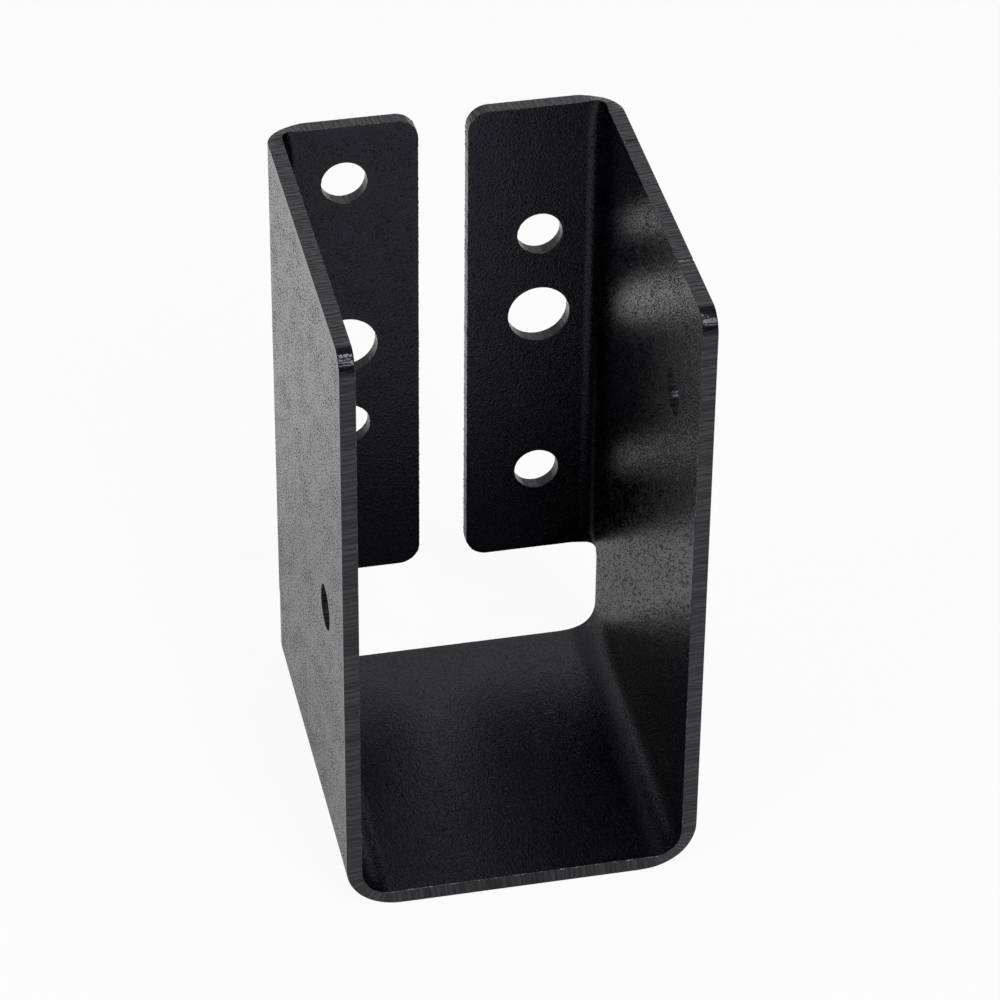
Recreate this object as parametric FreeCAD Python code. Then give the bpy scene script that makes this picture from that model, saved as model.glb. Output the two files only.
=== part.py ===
import FreeCAD, Part
import math
import os

# Joist hanger folded from one steel plate.  The seat carries the beam end, two side plates rise
# from it, and a mounting flange is folded inward from the back of each side plate, so the flanges
# hide behind the beam and leave a vertical slot between them.
# Millimetres.  +Z is up, -Y is the open front where the beam enters, +Y is the mounting face.
# The origin lies under the middle of the hanger, on the plane of the seat's underside.

# ---- sizes of the hanger -------------------------------------------------------------------
inside_width = 90.5          # clear width between the side plates, for a 3 1/2 in timber
height = 184.2               # seat underside to the top edge
seat_depth = 106.9           # front edge of the seat and side plates to their back edge
thickness = 4.3              # plate

# ---- folds ---------------------------------------------------------------------------------
seat_bend_radius = 9.3       # inside radius of the folds between seat and side plates
flange_bend_radius = 4.7     # inside radius of the folds between side plates and flanges

# ---- flanges and the cut-outs round them ----------------------------------------------------
slot_width = 13.6            # gap between the two flanges
window_top = 32.7            # flange bottom edge above the seat underside
corner_radius = 6.4          # flange corners at the slot, front top corners of the side plates
relief_radius = 2.5          # inside corner where a flange bottom edge meets the side plate

# ---- holes ---------------------------------------------------------------------------------
fastener_hole = 12.7         # diameter of the small holes
bolt_hole = 17.5             # diameter of the large holes
hole_line_shift = 0.4        # hole lines lie this much nearer the slot than mid-flange
hole_pitch = 27.0            # large hole to the near small hole; the far one is two pitches off
top_margin = 18.6            # left flange: far small hole below the top edge
bottom_margin = 28.5         # right flange: far small hole above the flange bottom edge
side_hole_setback = 28.0     # side plate hole behind the front edge

edge_break = 0.35            # rounding of the cut edges under the coating

# ---- derived -------------------------------------------------------------------------------
half_width = inside_width / 2 + thickness
seat_outer_radius = seat_bend_radius + thickness
flange_outer_radius = flange_bend_radius + thickness
depth = seat_depth + flange_outer_radius
front = -depth / 2
plate_back = front + seat_depth
back = depth / 2
slot_edge = slot_width / 2
hole_line = (slot_edge + half_width) / 2 - hole_line_shift

left_far = height - top_margin
left_heights = {"far": left_far, "bolt": left_far - 2 * hole_pitch, "near": left_far - 3 * hole_pitch}
right_far = window_top + bottom_margin
right_heights = {"far": right_far, "bolt": right_far + 2 * hole_pitch, "near": right_far + 3 * hole_pitch}


def vec(x, y, z):
    return FreeCAD.Vector(x, y, z)


def outline(points, radii):
    """Closed wire through points in one plane, with each corner rounded by its own radius."""
    edges = []
    count = len(points)
    starts = []
    ends = []
    for i in range(count):
        corner = points[i]
        radius = radii[i]
        to_prev = (points[i - 1] - corner).normalize()
        to_next = (points[(i + 1) % count] - corner).normalize()
        if radius == 0:
            starts.append(corner)
            ends.append(corner)
            continue
        half_angle = to_prev.getAngle(to_next) / 2
        reach = radius / math.tan(half_angle)
        starts.append(corner + to_prev * reach)
        ends.append(corner + to_next * reach)
        bisector = (to_prev + to_next).normalize()
        middle = corner + bisector * (radius / math.sin(half_angle) - radius)
        edges.append(Part.Arc(starts[i], middle, ends[i]).toShape())
    for i in range(count):
        following = starts[(i + 1) % count]
        if ends[i].distanceToPoint(following) > 1e-6:
            edges.append(Part.makeLine(ends[i], following))
    return Part.Wire(Part.__sortEdges__(edges))


def extrude(wire, direction):
    return Part.Face(wire).extrude(direction)


def channel():
    """Seat, the two side plates and the folds between them, one U section drawn along Y."""
    inner = half_width - thickness
    section = [
        vec(-half_width, front, height),
        vec(-half_width, front, 0),
        vec(half_width, front, 0),
        vec(half_width, front, height),
        vec(inner, front, height),
        vec(inner, front, thickness),
        vec(-inner, front, thickness),
        vec(-inner, front, height),
    ]
    radii = [0, seat_outer_radius, seat_outer_radius, 0, 0, seat_bend_radius, seat_bend_radius, 0]
    body = extrude(outline(section, radii), vec(0, seat_depth, 0))
    side_view = [
        vec(-half_width, front, 0),
        vec(-half_width, plate_back, 0),
        vec(-half_width, plate_back, height),
        vec(-half_width, front, height),
    ]
    return body.common(extrude(outline(side_view, [0, 0, 0, corner_radius]), vec(2 * half_width, 0, 0)))


def flange_fold(side):
    """Quarter turn from a side plate into its flange, with the rounded inside corner below it."""
    axis_x = half_width - flange_outer_radius
    bottom = window_top - relief_radius
    ring = Part.makeCylinder(flange_outer_radius, height - bottom, vec(axis_x, plate_back, bottom))
    bore = Part.makeCylinder(flange_bend_radius, height - bottom, vec(axis_x, plate_back, bottom))
    quarter = Part.makeBox(flange_outer_radius, flange_outer_radius, height - bottom,
                           vec(axis_x, plate_back, bottom))
    fold = ring.cut(bore).common(quarter)
    below = [
        vec(0, plate_back, bottom),
        vec(0, plate_back, bottom - 1),
        vec(0, back + 1, bottom - 1),
        vec(0, back + 1, window_top),
        vec(0, plate_back, window_top),
    ]
    relief = extrude(outline(below, [0, 0, 0, 0, relief_radius]), vec(half_width + 1, 0, 0))
    fold = fold.cut(relief)
    return fold if side > 0 else mirrored(fold)


def flange(side):
    """Flat flange from the slot to the fold, rounded at both corners beside the slot."""
    fold_line = half_width - flange_outer_radius
    face = [
        vec(slot_edge, back - thickness, window_top),
        vec(fold_line, back - thickness, window_top),
        vec(fold_line, back - thickness, height),
        vec(slot_edge, back - thickness, height),
    ]
    plate = extrude(outline(face, [corner_radius, 0, 0, corner_radius]), vec(0, thickness, 0))
    return plate if side > 0 else mirrored(plate)


def mirrored(shape):
    return shape.mirror(vec(0, 0, 0), vec(1, 0, 0))


def flange_holes(side, heights):
    tools = []
    for name, z in heights.items():
        diameter = bolt_hole if name == "bolt" else fastener_hole
        start = vec(side * hole_line, back - thickness - 1, z)
        tools.append(Part.makeCylinder(diameter / 2, thickness + 2, start, vec(0, 1, 0)))
    return tools


def side_hole(side, z):
    start = vec(side * (half_width - thickness - 1), front + side_hole_setback, z)
    return Part.makeCylinder(fastener_hole / 2, thickness + 2, start, vec(side, 0, 0))


def break_edges(shape):
    """Rounds each edge where a cut face meets a plate face; tangent faces run on untouched."""
    sharp = []
    for edge in shape.Edges:
        middle = edge.valueAt((edge.FirstParameter + edge.LastParameter) / 2)
        normals = []
        for face in shape.ancestorsOfType(edge, Part.Face):
            u, v = face.Surface.parameter(middle)
            normals.append(face.normalAt(u, v))
        if len(normals) == 2 and abs(normals[0].dot(normals[1])) < 0.5:
            sharp.append(edge)
    return shape.makeFillet(edge_break, sharp)


hanger = channel()
pieces = []
for side in (-1, 1):
    pieces.append(flange_fold(side))
    pieces.append(flange(side))
hanger = hanger.multiFuse(pieces).removeSplitter()

tools = flange_holes(-1, left_heights) + flange_holes(1, right_heights)
tools.append(side_hole(-1, left_heights["near"]))
tools.append(side_hole(1, right_heights["near"]))
for tool in tools:
    hanger = hanger.cut(tool)

hanger = break_edges(hanger)
if len(hanger.Solids) != 1 or not hanger.isValid():
    raise RuntimeError("the hanger is not one valid solid")

os.makedirs("parts", exist_ok=True)
hanger.Solids[0].exportStep("parts/u_bracket.step")
print("hanger:", round(hanger.Volume), "mm3 in", len(hanger.Faces), "faces")
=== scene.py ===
import bpy
import math
import numpy as np
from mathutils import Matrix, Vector
from mathutils.geometry import delaunay_2d_cdt


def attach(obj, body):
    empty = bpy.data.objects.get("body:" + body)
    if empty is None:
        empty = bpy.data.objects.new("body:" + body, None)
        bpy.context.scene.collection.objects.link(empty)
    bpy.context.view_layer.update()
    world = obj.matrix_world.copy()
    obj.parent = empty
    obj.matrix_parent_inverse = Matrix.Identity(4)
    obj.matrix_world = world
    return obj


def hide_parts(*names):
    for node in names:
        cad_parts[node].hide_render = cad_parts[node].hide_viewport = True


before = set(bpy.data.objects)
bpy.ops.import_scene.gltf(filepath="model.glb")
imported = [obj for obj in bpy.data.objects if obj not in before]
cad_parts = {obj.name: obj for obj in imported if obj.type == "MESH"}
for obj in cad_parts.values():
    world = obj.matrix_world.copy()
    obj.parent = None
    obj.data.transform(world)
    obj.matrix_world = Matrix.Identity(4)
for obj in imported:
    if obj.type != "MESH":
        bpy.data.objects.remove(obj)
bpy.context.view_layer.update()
scene = bpy.context.scene

# camera -----------------------------------------------------------------------------------
EYE = (-0.206376, -0.955984, 0.799454)
TURN_DEGREES = (54.1197, -0.4795, -12.1302)
SENSOR, LENS = 36.0, 157.065         # mm
CLIP = 0.01, 100

cam = bpy.data.cameras.new("camera")
cam.sensor_width = SENSOR
cam.lens = LENS
cam.clip_start, cam.clip_end = CLIP
camera = bpy.data.objects.new("camera", cam)
camera.location = EYE
camera.rotation_euler = [math.radians(a) for a in TURN_DEGREES]
scene.collection.objects.link(camera)
scene.camera = camera
scene.view_settings.view_transform = "Standard"

# the sheet, in mm: the sizes of part.py ---------------------------------------------------
MM = 0.001                           # in metres
T = 4.3                              # plate with its coat
HALF = 49.55                         # half the outside width
HEIGHT = 184.2
SEAT_R, FLANGE_R = 13.6, 9.0         # outer radii of the folds
FRONT, PLATE_BACK = -57.95, 48.95    # y of the front edge, and of the start of the flange folds
SLOT, WINDOW = 6.8, 32.7             # half the slot's width, height of the window
CORNER, RELIEF = 6.4, 2.5            # radii of the corners and of the bend relief
BREAK = 0.35                         # rounding of the cut edges
HOLE_LINE = 27.775                   # from the middle plane to the flange holes
SMALL, LARGE = 12.7 / 2, 17.5 / 2    # radii of the holes
SIDE_HOLE_Y = -29.95
# on the left (-1) and on the right (1): heights, and the radii of the flange holes
FLANGE_HOLES = {-1: ((165.6, SMALL), (111.6, LARGE), (84.6, SMALL)),
                1: ((61.2, SMALL), (115.2, LARGE), (142.2, SMALL))}
SIDE_HOLES = {-1: 84.6, 1: 142.2}

# the same sheet rolled out flat: p runs from the middle of the seat up the side plates, q from
# front to back and on round the flange fold, w through the plate from its outer face
QUARTER = math.pi / 2
P_FOLD = HALF - SEAT_R
P_SIDE = P_FOLD + QUARTER * (SEAT_R - T / 2)
P_TOP = P_SIDE + HEIGHT - SEAT_R
P_WINDOW = P_SIDE + WINDOW - SEAT_R
Q_FLANGE = PLATE_BACK + QUARTER * (FLANGE_R - T / 2)
Q_SLOT = Q_FLANGE + HALF - FLANGE_R - SLOT
Q_HOLES = Q_FLANGE + HALF - FLANGE_R - HOLE_LINE

# the ends of the folds, where bending has pushed the metal out of shape
SWELL = 0.35                         # inner face out, at the front and on top; the straight cut
                                     # edges stay this far inside the CAD's
WINDOW_SWELL = 0.5                   # the same at the window
SEAT_DRAW, FLANGE_DRAW = 0.7, 0.9    # outer face in, at the front and on top
SEAT_SQUEEZE, FLANGE_SQUEEZE = 0.5, 0.9   # how much thinner the plate is there
SEAT_SPREAD, FLANGE_SPREAD = 8.5, 5.5     # to each side of the fold's middle
END_REACH, SQUEEZE_REACH = 4.0, 3.0  # how quickly all this fades away from the cut edge

# the laser cut
SEED = 7
GROOVE, HOLE_SHARE = 0.32, 0.6       # depth of its grooves, and the share of it in the holes
PITCH = 0.9, 2.1                     # least and most from one groove to the next
BULGE = 0.25, 1.0                    # of the scallops between the grooves, in groove depths
CREST = 0.3, 0.7                     # where across a scallop it is highest
COARSE, FINE = 0.7, 0.3              # shares of the plain grooves and of closer ones
FINE_RATE = 1.7                      # how much closer those are
GLINT_RATE, PATCH_RATE = 2.3, 0.25    # the same for the marks of painted highlight along the burr and the patches they come in
GLINT_PAST = 4.0                      # how far into the folds the seat's front edge counts
GLINT_ELSEWHERE = 0.6                 # painted highlight on all other edges, against 1 on that one
LAG = 0.5                            # how far the grooves trail at the inner face
CALM, CALM_BLEND = 0.75, 2.0         # how much smoother the rounded front corners are
NOTCHES = ((-30.0, 2.0, 0.35),       # on the right top edge: y, depth in grooves, width
           (31.0, 1.1, 0.3))

# spacing of the mesh
RIM_STEP, HOLE_STEP = 0.2, 0.27      # along the cut edges
SEAT_GRID, FLANGE_GRID = (21, 36), (17, 50)   # points round a fold and along it
SEAT_GAP, FLANGE_GAPS = 1.5, (0.9, 1.2)       # from them to the cut edges
FLAT_STEP, FLAT_START, FLAT_END = 6.0, 5.0, 3.0   # over the flats, and from their edges
RIM_GAP, HOLE_GAP = 0.7, 0.8         # no closer than this to the edge of a face


def side_height(z):
    return P_SIDE + z - SEAT_R


def fading(distance, reach):
    return np.exp(-np.abs(distance) / reach)


def folded(p, q, w):
    """Points of the flat sheet, moved to where the folds put them."""
    side = np.where(p < 0, -1.0, 1.0)
    a = np.abs(p)
    turn = np.clip((a - P_FOLD) / (P_SIDE - P_FOLD), 0, 1) * math.pi / 2
    bend = np.clip((q - PLATE_BACK) / (Q_FLANGE - PLATE_BACK), 0, 1) * math.pi / 2
    near = fading(q - FRONT, SQUEEZE_REACH) + fading(q - PLATE_BACK, SQUEEZE_REACH)
    r = SEAT_R - w + w / T * SEAT_SQUEEZE * np.sin(2 * turn) ** 2 * near
    x = np.minimum(a, P_FOLD) + r * np.sin(turn)
    z = SEAT_R - r * np.cos(turn) + np.maximum(a - P_SIDE, 0)
    near = fading(a - P_TOP, SQUEEZE_REACH) + fading(a - P_WINDOW, SQUEEZE_REACH)
    r = FLANGE_R - w + w / T * FLANGE_SQUEEZE * np.sin(2 * bend) ** 2 * near
    y = np.minimum(q, PLATE_BACK) + r * np.sin(bend)
    x = x - (FLANGE_R - w) + r * np.cos(bend) - np.maximum(q - Q_FLANGE, 0)
    return np.stack([side * x, y, z], -1)


def fold_ends(p, q, w):
    """At the ends of a fold its outer face is drawn in and its inner face swells out."""
    a = np.abs(p)
    inner = w / T
    seat = np.exp(-(((a - (P_FOLD + P_SIDE) / 2) / SEAT_SPREAD) ** 4))
    q = q - seat * (SWELL * inner - SEAT_DRAW * (1 - inner)) * fading(q - FRONT, END_REACH)
    q = q + seat * WINDOW_SWELL * (2 * inner - 1) * fading(q - PLATE_BACK, END_REACH)
    flange = np.exp(-(((q - (PLATE_BACK + Q_FLANGE) / 2) / FLANGE_SPREAD) ** 4))
    a = a + flange * (SWELL * inner - FLANGE_DRAW * (1 - inner)) * fading(a - P_TOP, END_REACH)
    a = a - flange * WINDOW_SWELL * (2 * inner - 1) * fading(a - P_WINDOW, END_REACH)
    return np.where(p < 0, -a, a), q


def place(p, q, w):
    p, q = fold_ends(p, q, w)
    return folded(p, q, w)


def inner_normal(p, q, w):
    """Direction from the outer face of the plate to its inner face, on the face at depth w."""
    d = 0.03
    up = place(p + d, q, w) - place(p - d, q, w)
    back = place(p, q + d, w) - place(p, q - d, w)
    n = np.cross(up, back)
    return n / np.linalg.norm(n, axis=1)[:, None]


def straight(a, b):
    a, b = np.array(a, float), np.array(b, float)
    n = max(1, round(float(np.linalg.norm(b - a)) / RIM_STEP))
    k = np.arange(n)[:, None] / n
    return a + (b - a) * k


def arc(centre, radius, start, end, step=RIM_STEP):
    n = max(4, round(abs(end - start) * radius / step))
    t = start + (end - start) * np.arange(n) / n
    return np.array(centre, float) + radius * np.stack([np.cos(t), np.sin(t)], -1)


def outline():
    """Cut edge of the whole sheet, the metal on its left."""
    c = CORNER
    top, front = P_TOP - SWELL, FRONT + SWELL
    half = np.concatenate([
        straight((0, front), (top - c, front)),
        arc((top - c, front + c), c, -QUARTER, 0),
        straight((top, front + c), (top, Q_SLOT - c)),
        arc((top - c, Q_SLOT - c), c, 0, QUARTER),
        straight((top - c, Q_SLOT), (P_WINDOW + c, Q_SLOT)),
        arc((P_WINDOW + c, Q_SLOT - c), c, QUARTER, 2 * QUARTER),
        straight((P_WINDOW, Q_SLOT - c), (P_WINDOW, PLATE_BACK + RELIEF)),
        arc((P_WINDOW - RELIEF, PLATE_BACK + RELIEF), RELIEF, 0, -QUARTER),
        straight((P_WINDOW - RELIEF, PLATE_BACK), (0, PLATE_BACK)),
    ])
    mirrored = half[1:][::-1] * (-1, 1)
    return np.concatenate([half, [[0, PLATE_BACK]], mirrored])


def holes():
    """Centre and radius of each hole in the flat sheet."""
    out = []
    for side in (-1, 1):
        for z, radius in FLANGE_HOLES[side]:
            out.append((side * side_height(z), Q_HOLES, radius))
        out.append((side * side_height(SIDE_HOLES[side]), SIDE_HOLE_Y, SMALL))
    return out


def stripes(length, rng, rate=1.0):
    """Scallops that the cutting beam leaves, at an uneven pitch: depth from 0 to 1."""
    length = length * rate
    gaps = rng.uniform(*PITCH, int(length / np.mean(PITCH)))
    knots = np.concatenate([[0], np.cumsum(gaps)])
    knots *= length / knots[-1]
    bulge = rng.uniform(*BULGE, len(gaps))
    crest = rng.uniform(*CREST, len(gaps))

    def at(s):
        s = np.mod(s * rate, length)
        k = np.clip(np.searchsorted(knots, s, side="right") - 1, 0, len(gaps) - 1)
        u = (s - knots[k]) / (knots[k + 1] - knots[k])
        top = crest[k]
        u = np.where(u < top, (top - u) / top, (u - top) / (1 - top))
        return 1 - bulge[k] * (1 - u * u)
    return at


def rim_profile():
    """Inset from the cut, depth in the plate and share of the grooves, outer to inner face."""
    rows = [(BREAK * (1 - math.sin(a)), BREAK * (1 - math.cos(a)), math.sin(a) ** 2)
            for a in np.radians([0, 30, 60, 90])]
    mids = [(0, BREAK + (T - 2 * BREAK) * k / 3, 1) for k in (1, 2)]
    return rows + mids + [(d, T - w, g) for d, w, g in rows[::-1]]


PROFILE = rim_profile()


def rim(loop, rng, depth, outer):
    """One cut edge: the row it leaves on the flat outer face, then its points, normals and
    marks for the coat, one row for each step of PROFILE."""
    ahead, behind = np.roll(loop, -1, 0), np.roll(loop, 1, 0)
    tangent = ahead - behind
    tangent /= np.linalg.norm(tangent, axis=1)[:, None]
    inward = np.stack([-tangent[:, 1], tangent[:, 0]], -1)
    gap = np.linalg.norm(ahead - loop, axis=1)
    s = np.concatenate([[0], np.cumsum(gap)[:-1]])
    total = float(gap.sum())
    groove = stripes(total, rng)
    fine = stripes(total, rng, FINE_RATE)
    # painted highlight: lighter colour in broken patches along the rounded inner edge of each
    # cut, strongest on the seat's front edge
    glint_marks = stripes(total, rng, GLINT_RATE)(s) * stripes(total, rng, PATCH_RATE)(s)
    seat_front = (np.abs(loop[:, 0]) < P_FOLD + GLINT_PAST) & (loop[:, 1] < 0)
    glint_marks *= np.where(seat_front & outer, 1.0, GLINT_ELSEWHERE)
    notch = np.zeros(len(loop))
    if outer:
        for y, deep, wide in NOTCHES:
            at = s[np.argmin(np.abs(loop - (P_TOP - SWELL, y)).sum(1))]
            notch += deep * np.exp(-((s - at) / wide) ** 2)
    reach = np.maximum(P_TOP - SWELL - np.abs(loop[:, 0]), loop[:, 1] - FRONT - SWELL)
    calm = np.clip((CORNER + CALM_BLEND / 2 - reach) / CALM_BLEND, 0, 1) * outer
    rows, cut, hollow, painted_glint = [], [], [], []
    for inset, w, share in PROFILE:
        lag = LAG * (w / T) ** 2
        h = share * (COARSE * groove(s + lag) + FINE * fine(s - lag))
        h = h * (1 - CALM * calm) + notch
        rows.append(loop + inward * (inset + depth * h)[:, None])
        cut.append(np.full(len(loop), share))
        hollow.append(np.maximum(h, calm))
        painted_glint.append(glint_marks * (T - BREAK < w < T))
    grid = np.stack([place(pq[:, 0], pq[:, 1], w) for pq, (_, w, _) in zip(rows, PROFILE)])
    along = np.roll(grid, -1, 1) - np.roll(grid, 1, 1)
    across = np.gradient(grid, axis=0)
    normal = np.cross(along, across)
    normal /= np.linalg.norm(normal, axis=2)[..., None]
    normal[0] = -inner_normal(rows[0][:, 0], rows[0][:, 1], 0.0)
    normal[-1] = inner_normal(rows[-1][:, 0], rows[-1][:, 1], T)
    marks = {"cut_edge": np.stack(cut), "hollow": np.stack(hollow), "painted_glint": np.stack(painted_glint)}
    marks["margin"] = np.ones_like(marks["cut_edge"])
    return rows[0], grid, normal, marks


def inner_points(border, rings):
    """Points inside the faces: close rows over the folds, a loose grid over the flats."""
    round_seat, along_seat = SEAT_GRID
    round_flange, along_flange = FLANGE_GRID
    above_window, below_top = FLANGE_GAPS
    seat_fold = (np.linspace(P_FOLD, P_SIDE, round_seat),
                 np.linspace(FRONT + SEAT_GAP, PLATE_BACK - SEAT_GAP, along_seat))
    flange_fold = (np.linspace(P_WINDOW + above_window, P_TOP - below_top, along_flange),
                   np.linspace(PLATE_BACK, Q_FLANGE, round_flange))
    side_p = np.arange(P_SIDE + FLAT_STEP, P_TOP - FLAT_END, FLAT_STEP)
    seat_p = np.arange(FLAT_STEP - P_FOLD, P_FOLD - FLAT_END, FLAT_STEP)
    plate_q = np.arange(FRONT + FLAT_START, PLATE_BACK - FLAT_END, FLAT_STEP)
    flange_q = np.arange(Q_FLANGE + FLAT_START, Q_SLOT - FLAT_END, FLAT_STEP)
    spots = []
    for side in (-1, 1):
        spots += [(side * p, q) for p in seat_fold[0] for q in seat_fold[1]]
        spots += [(side * p, q) for q in flange_fold[1] for p in flange_fold[0]]
        for p in side_p:
            spots += [(side * p, q) for q in plate_q]
            if p > P_WINDOW + FLAT_END:
                spots += [(side * p, q) for q in flange_q]
    spots += [(p, q) for p in seat_p for q in plate_q]
    spots = np.array(spots)
    keep = np.ones(len(spots), bool)
    for p, q, radius in rings:
        keep &= np.hypot(spots[:, 0] - p, spots[:, 1] - q) > radius + BREAK + HOLE_GAP
    for k in np.flatnonzero(keep):
        keep[k] = np.min(np.abs(border - spots[k]).sum(1)) > RIM_GAP
    return spots[keep]


def triangles(loops, spots):
    """Triangles between the outline and the hole loops, through the spots, one way round."""
    border = np.concatenate(loops)
    flat = np.concatenate([border, spots])
    loop_of = np.full(len(flat), -1)
    loop_of[:len(border)] = np.repeat(np.arange(len(loops)), [len(loop) for loop in loops])
    edges, start = [], 0
    for loop in loops:
        n = len(loop)
        edges += [(start + i, start + (i + 1) % n) for i in range(n)]
        start += n
    outer = list(range(len(loops[0])))
    inside_outline, tolerance = 1, 1e-7
    points, _, faces, given, _, _ = delaunay_2d_cdt(
        [Vector(v) for v in flat], edges, [outer], inside_outline, tolerance)
    if len(points) != len(flat):
        raise RuntimeError("the flat sheet's points were merged")
    given = np.array([ids[0] for ids in given])
    tris = given[np.array([face for face in faces if len(face) == 3])]
    corners = loop_of[tris]
    in_hole = (corners[:, 0] > 0) & (corners == corners[:, :1]).all(1)
    tris = tris[~in_hole]
    c = flat[tris]
    area = np.cross(c[:, 1] - c[:, 0], c[:, 2] - c[:, 0])
    tris[area < 0] = tris[area < 0][:, ::-1]
    return tris


def sheet_mesh():
    """Points in metres, normals, marks for the coat, and faces of the folded sheet."""
    rng = np.random.RandomState(SEED)
    rings = holes()
    loops = [outline()]
    for p, q, radius in rings:
        loops.append(arc((p, q), radius, 2 * math.pi, 0, HOLE_STEP))
    verts, normals, faces, flats, face_rows = [], [], [], [], []
    marks = {"cut_edge": [], "hollow": [], "painted_glint": [], "margin": []}
    count = 0
    for k, loop in enumerate(loops):
        depth = GROOVE if k == 0 else HOLE_SHARE * GROOVE
        flat, grid, normal, found = rim(loop, rng, depth, k == 0)
        ids = count + np.arange(len(PROFILE) * len(loop)).reshape(len(PROFILE), len(loop))
        nxt = np.roll(ids, -1, 1)
        faces.append(np.stack([ids[:-1], nxt[:-1], nxt[1:], ids[1:]], -1).reshape(-1, 4))
        verts.append(grid.reshape(-1, 3))
        normals.append(normal.reshape(-1, 3))
        for name in marks:
            marks[name].append(found[name].reshape(-1))
        flats.append(flat)
        face_rows.append((ids[0], ids[-1]))
        count += ids.size
    spots = inner_points(np.concatenate(flats), rings)
    tris = triangles(flats, spots)
    for w, inner in ((0.0, 0), (T, 1)):
        verts.append(place(spots[:, 0], spots[:, 1], w))
        n = inner_normal(spots[:, 0], spots[:, 1], w)
        normals.append(n if inner else -n)
        for name in marks:
            marks[name].append(np.zeros(len(spots)))
        ids = np.concatenate([pair[inner] for pair in face_rows]
                             + [count + np.arange(len(spots))])
        count += len(spots)
        faces.append(ids[tris if inner else tris[:, ::-1]])
    marks = {name: np.concatenate(parts) for name, parts in marks.items()}
    return np.concatenate(verts) * MM, np.concatenate(normals), marks, faces


def build():
    verts, normals, marks, faces = sheet_mesh()
    me = bpy.data.meshes.new("bracket_sheet")
    me.from_pydata(verts.tolist(), [], [f for part in faces for f in part.tolist()])
    me.polygons.foreach_set("use_smooth", [True] * len(me.polygons))
    for name, values in marks.items():
        me.attributes.new(name, "FLOAT", "POINT").data.foreach_set("value", values)
    me.update()
    me.normals_split_custom_set_from_vertices(normals.tolist())
    piece = bpy.data.objects.new("bracket_sheet", me)
    scene.collection.objects.link(piece)
    return piece


# nodes ------------------------------------------------------------------------------------
class Nodes:
    """A node tree, with a short call for each kind of node used here."""

    def __init__(self, tree):
        self.tree = tree

    def add(self, kind):
        return self.tree.nodes.new("ShaderNode" + kind)

    def put(self, value, socket):
        """Link an output to the socket, or set the socket to a plain value."""
        if isinstance(value, bpy.types.NodeSocket):
            self.tree.links.new(value, socket)
        else:
            socket.default_value = value

    def attribute(self, name):
        node = self.add("Attribute")
        node.attribute_name = name
        return node.outputs["Fac"]

    def maths(self, operation, *values):
        node = self.add("Math")
        node.operation = operation
        for k, value in enumerate(values):
            self.put(value, node.inputs[k])
        return node.outputs[0]

    def to_range(self, value, lo, hi, new_lo=0.0, new_hi=1.0, interpolation="LINEAR"):
        node = self.add("MapRange")
        node.interpolation_type = interpolation
        for k, v in enumerate((value, lo, hi, new_lo, new_hi)):
            self.put(v, node.inputs[k])
        return node.outputs[0]

    def mix(self, data_type, share, a, b):
        node = self.add("Mix")
        node.data_type = data_type
        first, result = {"FLOAT": (2, 0), "RGBA": (6, 2)}[data_type]
        for k, value in ((0, share), (first, a), (first + 1, b)):
            self.put(value, node.inputs[k])
        return node.outputs[result]

    def ramp(self, value, *stops, interpolation="LINEAR"):
        """Colour ramp of two stops, each a position and a colour."""
        node = self.add("ValToRGB")
        node.color_ramp.interpolation = interpolation
        for element, (position, colour) in zip(node.color_ramp.elements, stops):
            element.position = position
            element.color = (*colour, 1)
        self.put(value, node.inputs[0])
        return node.outputs[0]

    def noise(self, coord, scale, detail=0.0, offset=0.0, drawn=1.0, tilt=0.0):
        """Noise of so many cells a metre, drawn out along Y turned about X by tilt degrees."""
        shift = self.add("Mapping")
        shift.vector_type = "TEXTURE"
        shift.inputs["Location"].default_value = (offset, offset, offset)
        shift.inputs["Rotation"].default_value = (math.radians(tilt), 0, 0)
        shift.inputs["Scale"].default_value = (1.0, drawn, 1.0)
        self.put(coord, shift.inputs["Vector"])
        node = self.add("TexNoise")
        node.inputs["Scale"].default_value = scale
        node.inputs["Detail"].default_value = detail
        self.put(shift.outputs[0], node.inputs["Vector"])
        return node.outputs["Fac"]


def material(name):
    mat = bpy.data.materials.new(name)
    mat.use_nodes = True
    mat.node_tree.nodes.clear()
    return mat, Nodes(mat.node_tree)


# powder coat: noises in cells a metre, and levels between which they take effect ----------
IOR, TINT = 1.42, (0.88, 0.84, 1.0, 1)
BLACK = (0.3, (0.0017, 0.0014, 0.0026)), (0.7, (0.0041, 0.0036, 0.0051))   # over the pebbles
EDGE_COAT_GROOVE_SHADE = (0.35, (0.040, 0.0392, 0.0405)), (0.9, (0.003, 0.0028, 0.0035))     # lighter thin coat on the crests, darkening into the grooves as painted shade
PAINTED_GLINT_COLOUR = (0.30, 0.30, 0.31, 1)         # painted highlight along the burr, as a lighter colour
PEBBLES = 1700, 2100
NIBS, NIB_LEVELS, NIB_HEIGHT = 820, (0.70, 0.82), 0.25
BUMP, BUMP_ON_EDGE = 0.00018, 0.45   # height in metres, and the share of it on the cut edges
GRAIN, SPECK_LEVELS = 2400, (0.28, 0.52)
DULL, SMOOTH = 0.49, 0.13            # roughness in the specks, and between them
CLOUDS, CLOUD_LEVELS, CLOUD_SHIFT = 170, (0.3, 0.7), 0.07
SPECK_TILT = -39.0                   # degrees from Y, down towards the back
MARGIN_LEVELS, PAINTED_GLINT_LEVELS = (0.5, 1.0), (0.25, 0.75)
GROOVE_LEVELS, EDGE_ROUGH = (0.9, 1.0), (0.22, 0.15)   # on the cut edge and in its grooves


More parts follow.
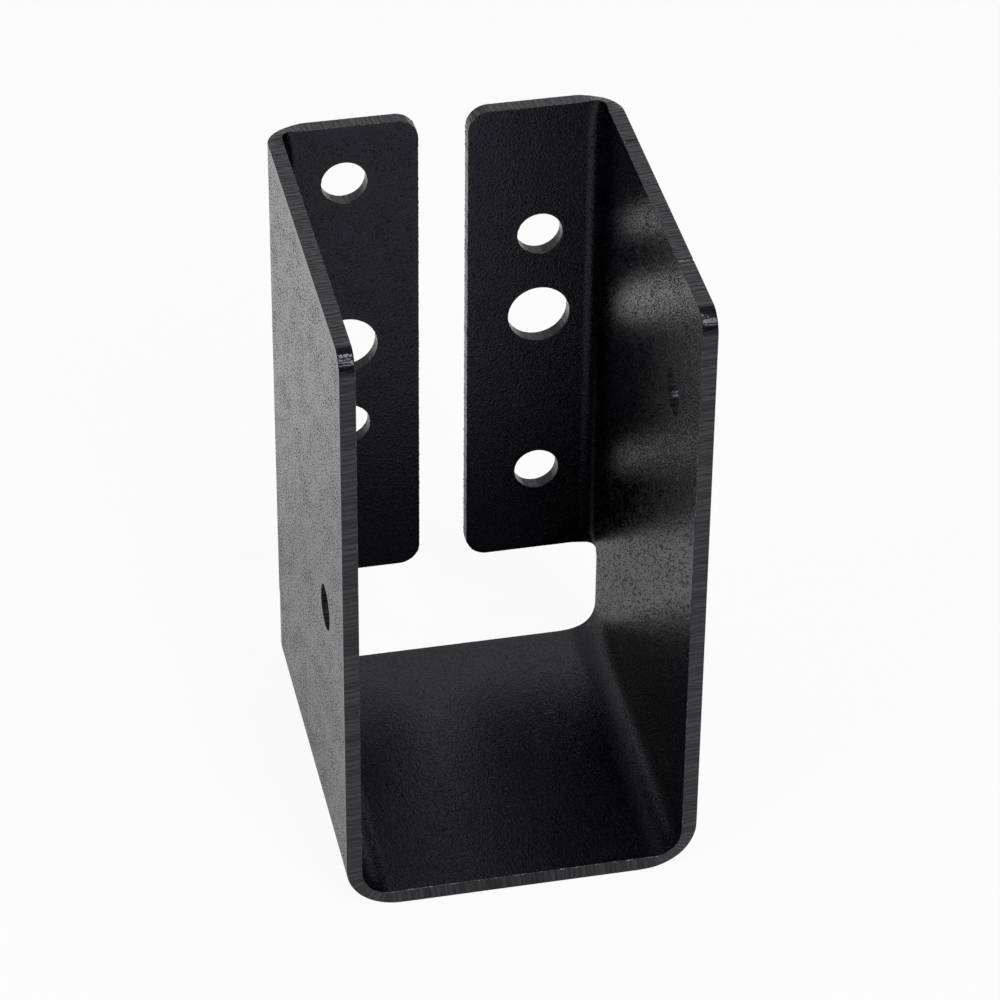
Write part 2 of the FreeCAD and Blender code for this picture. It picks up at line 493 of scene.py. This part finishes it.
def powder():
    """Black powder coat: a fine pebbled skin with dull specks in soft clouds, smoother in a
    margin beside the cut edges, thin over them with painted shade darkening their grooves,
    and a painted highlight in patches along the inner edges of the cuts."""
    mat, nodes = material("powder_black")
    coord = nodes.add("TexCoord").outputs["Object"]
    cut = nodes.attribute("cut_edge")
    hollow = nodes.attribute("hollow")
    bsdf = nodes.add("BsdfPrincipled")
    bsdf.inputs["IOR"].default_value = IOR
    bsdf.inputs["Specular Tint"].default_value = TINT
    nodes.put(bsdf.outputs[0], nodes.add("OutputMaterial").inputs[0])

    pebble = nodes.maths("ADD", nodes.noise(coord, PEBBLES[0], detail=1.0, drawn=3.3),
                         nodes.noise(coord, PEBBLES[1], detail=1.0, offset=0.7))
    pebble = nodes.maths("MULTIPLY", pebble, 0.5)
    nibs = nodes.to_range(nodes.noise(coord, NIBS, offset=0.37), *NIB_LEVELS)
    bump = nodes.add("Bump")
    bump.inputs["Distance"].default_value = BUMP
    nodes.put(nodes.to_range(nodes.maths("SUBTRACT", 1.0, cut), 0, 1, BUMP_ON_EDGE, 1.0),
              bump.inputs["Strength"])
    nodes.put(nodes.maths("ADD", pebble, nodes.maths("MULTIPLY", nibs, NIB_HEIGHT)),
              bump.inputs["Height"])
    nodes.put(bump.outputs[0], bsdf.inputs["Normal"])

    cloud = nodes.noise(coord, CLOUDS, detail=1.0, offset=0.21, drawn=3.0, tilt=SPECK_TILT)
    cloud = nodes.to_range(cloud, *CLOUD_LEVELS, -CLOUD_SHIFT, CLOUD_SHIFT)
    grain = nodes.noise(coord, GRAIN, offset=0.53, drawn=5.0, tilt=SPECK_TILT)
    specks = nodes.to_range(nodes.maths("ADD", grain, cloud), *SPECK_LEVELS, DULL, SMOOTH)
    margin = nodes.to_range(nodes.attribute("margin"), *MARGIN_LEVELS)
    rough = nodes.mix("FLOAT", margin, specks, SMOOTH)
    edge_rough = nodes.to_range(hollow, *GROOVE_LEVELS, *EDGE_ROUGH)
    nodes.put(nodes.mix("FLOAT", cut, rough, edge_rough), bsdf.inputs["Roughness"])

    # the cut edges: lighter on their crests, with painted shade darkening into their grooves
    tone = nodes.mix("RGBA", cut, nodes.ramp(pebble, *BLACK), nodes.ramp(hollow, *EDGE_COAT_GROOVE_SHADE))
    # painted highlight along the burr, laid into the base colour
    painted_glint = nodes.to_range(nodes.attribute("painted_glint"), *PAINTED_GLINT_LEVELS)
    nodes.put(nodes.mix("RGBA", painted_glint, tone, PAINTED_GLINT_COLOUR), bsdf.inputs["Base Color"])
    return mat


piece = build()
piece.data.materials.append(powder())
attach(piece, "root")
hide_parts("u_bracket")


# floor, in metres round the bracket -------------------------------------------------------
FLOOR_SIZE = 40
PAPER = (0.9, 0.9, 0.9, 1)
PAPER_PLAIN = 0.93                   # how much of it the camera sees as plain white
MIDDLE = 0.03, 0.06                  # |x| over which the floor in line with it ends
BEHIND = 0.11, 0.21                  # y over which the floor round it turns to that behind it
SIDES_NEAR, SIDES_FAR = 0.36, -0.39  # change of the painted glow in reflections to the sides


def floor_material():
    """White paper, plain white to the camera but for a faint shadow. The coat mirrors shaded
    paper close to the bracket and, as painted light, a glow of plain white behind it."""
    mat, nodes = material("floor")
    path = nodes.add("LightPath").outputs
    where = nodes.add("SeparateXYZ")
    nodes.put(nodes.add("TexCoord").outputs["Object"], where.inputs[0])
    side = nodes.to_range(nodes.maths("ABSOLUTE", where.outputs["X"]), *MIDDLE,
                          interpolation="SMOOTHSTEP")
    behind = nodes.to_range(where.outputs["Y"], *BEHIND, interpolation="SMOOTHSTEP")
    # painted light in reflections: the paper's glow to glossy rays, none in line in front of
    # the bracket, full behind it, part way at the sides
    white = nodes.mix("FLOAT", behind, nodes.maths("MULTIPLY_ADD", side, SIDES_NEAR, 0.0),
                      nodes.maths("MULTIPLY_ADD", side, SIDES_FAR, 1.0))
    mirrored = nodes.maths("MAXIMUM", path["Is Glossy Ray"], path["Is Transmission Ray"])
    seen = nodes.maths("MULTIPLY", path["Is Camera Ray"], PAPER_PLAIN)
    diffuse = nodes.add("BsdfDiffuse")
    diffuse.inputs["Color"].default_value = PAPER
    mix = nodes.add("MixShader")
    nodes.put(nodes.maths("MULTIPLY_ADD", mirrored, white, seen), mix.inputs[0])
    nodes.put(diffuse.outputs[0], mix.inputs[1])
    nodes.put(nodes.add("Emission").outputs[0], mix.inputs[2])
    nodes.put(mix.outputs[0], nodes.add("OutputMaterial").inputs[0])
    return mat


bpy.ops.mesh.primitive_plane_add(size=FLOOR_SIZE, location=(0, 0, 0))
floor = bpy.context.object
floor.name = "floor"
floor.data.materials.append(floor_material())


# light ------------------------------------------------------------------------------------
LIGHT_DISTANCE = 1.5
LIGHT_AIM = (0, 0, 0.1)


def softbox(name, azimuth, elevation, size, radiance):
    """Square soft light; azimuth from +X towards +Y."""
    a, e = math.radians(azimuth), math.radians(elevation)
    direction = Vector((math.cos(a) * math.cos(e), math.sin(a) * math.cos(e), math.sin(e)))
    light = bpy.data.lights.new(name, "AREA")
    light.shape = "SQUARE"
    light.size = size
    light.energy = radiance * math.pi * size ** 2
    lamp = bpy.data.objects.new(name, light)
    lamp.location = Vector(LIGHT_AIM) + direction * LIGHT_DISTANCE
    lamp.rotation_euler = direction.to_track_quat("Z", "Y").to_euler()
    scene.collection.objects.link(lamp)


def room(front, back):
    """Grey world; front and back are each a place on the way to the back and its grey."""
    scene.world = bpy.data.worlds.new("world")
    scene.world.use_nodes = True
    tree = scene.world.node_tree
    nodes = Nodes(tree)
    split = nodes.add("SeparateXYZ")
    nodes.put(nodes.add("TexCoord").outputs["Generated"], split.inputs[0])
    turn = nodes.to_range(split.outputs["Y"], -1, 1)
    stops = [(position, (grey,) * 3) for position, grey in (front, back)]
    background = tree.nodes["Background"]
    nodes.put(nodes.ramp(turn, *stops, interpolation="EASE"), background.inputs["Color"])
    background.inputs["Strength"].default_value = 1.0


softbox("key", 281, 44, size=0.50, radiance=9.0)
softbox("side", 203, 30, size=1.00, radiance=1.9)
softbox("top", 285, 72, size=0.22, radiance=20.0)
softbox("back", 72, 37, size=0.90, radiance=0.34)
room(front=(0.25, 0.13), back=(0.95, 0.43))
